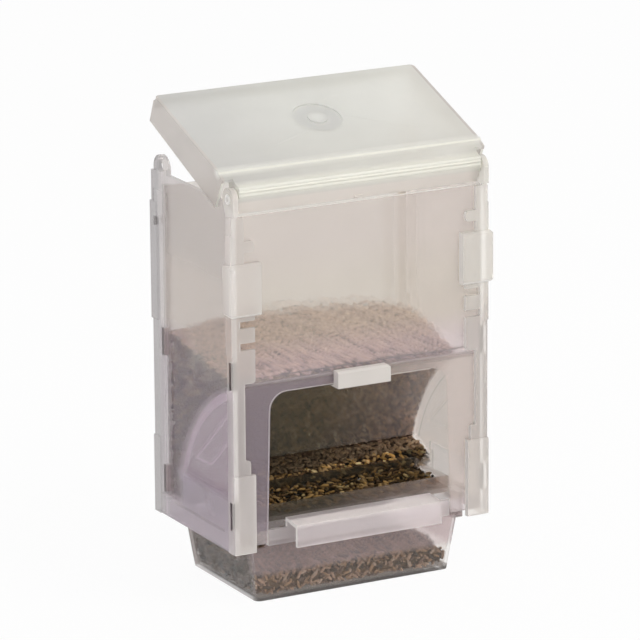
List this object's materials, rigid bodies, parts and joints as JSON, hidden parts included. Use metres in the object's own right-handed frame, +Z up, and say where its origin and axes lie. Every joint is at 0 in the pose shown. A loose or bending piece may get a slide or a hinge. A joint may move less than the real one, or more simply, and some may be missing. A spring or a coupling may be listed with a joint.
{
  "type": "hopper bird feeder",
  "caption": "Translucent panelled hopper feeder for a cage: hinged lid, curved baffle over an arched feeding window, trough and pull-out catch drawer.",
  "frame": {"origin": "on the underside of the drawer, the face the feeder stands on, in the middle between the side panels and half way through their depth", "axes": "+X to the right seen from the feeding side, +Y to the back, +Z up"},
  "size_m": [0.1342, 0.0873, 0.2248],
  "materials": {
    "frosted_panel": "frosted natural polypropylene",
    "frosted_lid": "frosted natural polypropylene",
    "smoky_sheet": "thin translucent sheet",
    "clear_drawer": "clear, slightly smoky",
    "seed": "loose mixed seed"
  },
  "bodies": {
    "feeder_body": {"left_side_panel": "frosted_panel", "right_side_panel": "frosted_panel", "front_panel": "frosted_panel", "rear_panel": "frosted_panel", "seed_baffle": "smoky_sheet", "feed_trough": "smoky_sheet", "hopper_seed": "seed", "trough_seed": "seed"},
    "lid": {"lid": "frosted_lid"},
    "drawer": {"catch_drawer": "clear_drawer", "drawer_seed": "seed"}
  },
  "joints": [
    {"name": "lid_hinge", "type": "hinge", "parent": "feeder_body", "child": "lid", "pos_m": [0, -0.036, 0.191], "axis": [1, 0, 0], "range_deg": [-20, 85]},
    {"name": "drawer_slide", "type": "slide", "parent": "feeder_body", "child": "drawer", "axis": [0, -1, 0], "range_m": [0, 0.05]}
  ]
}
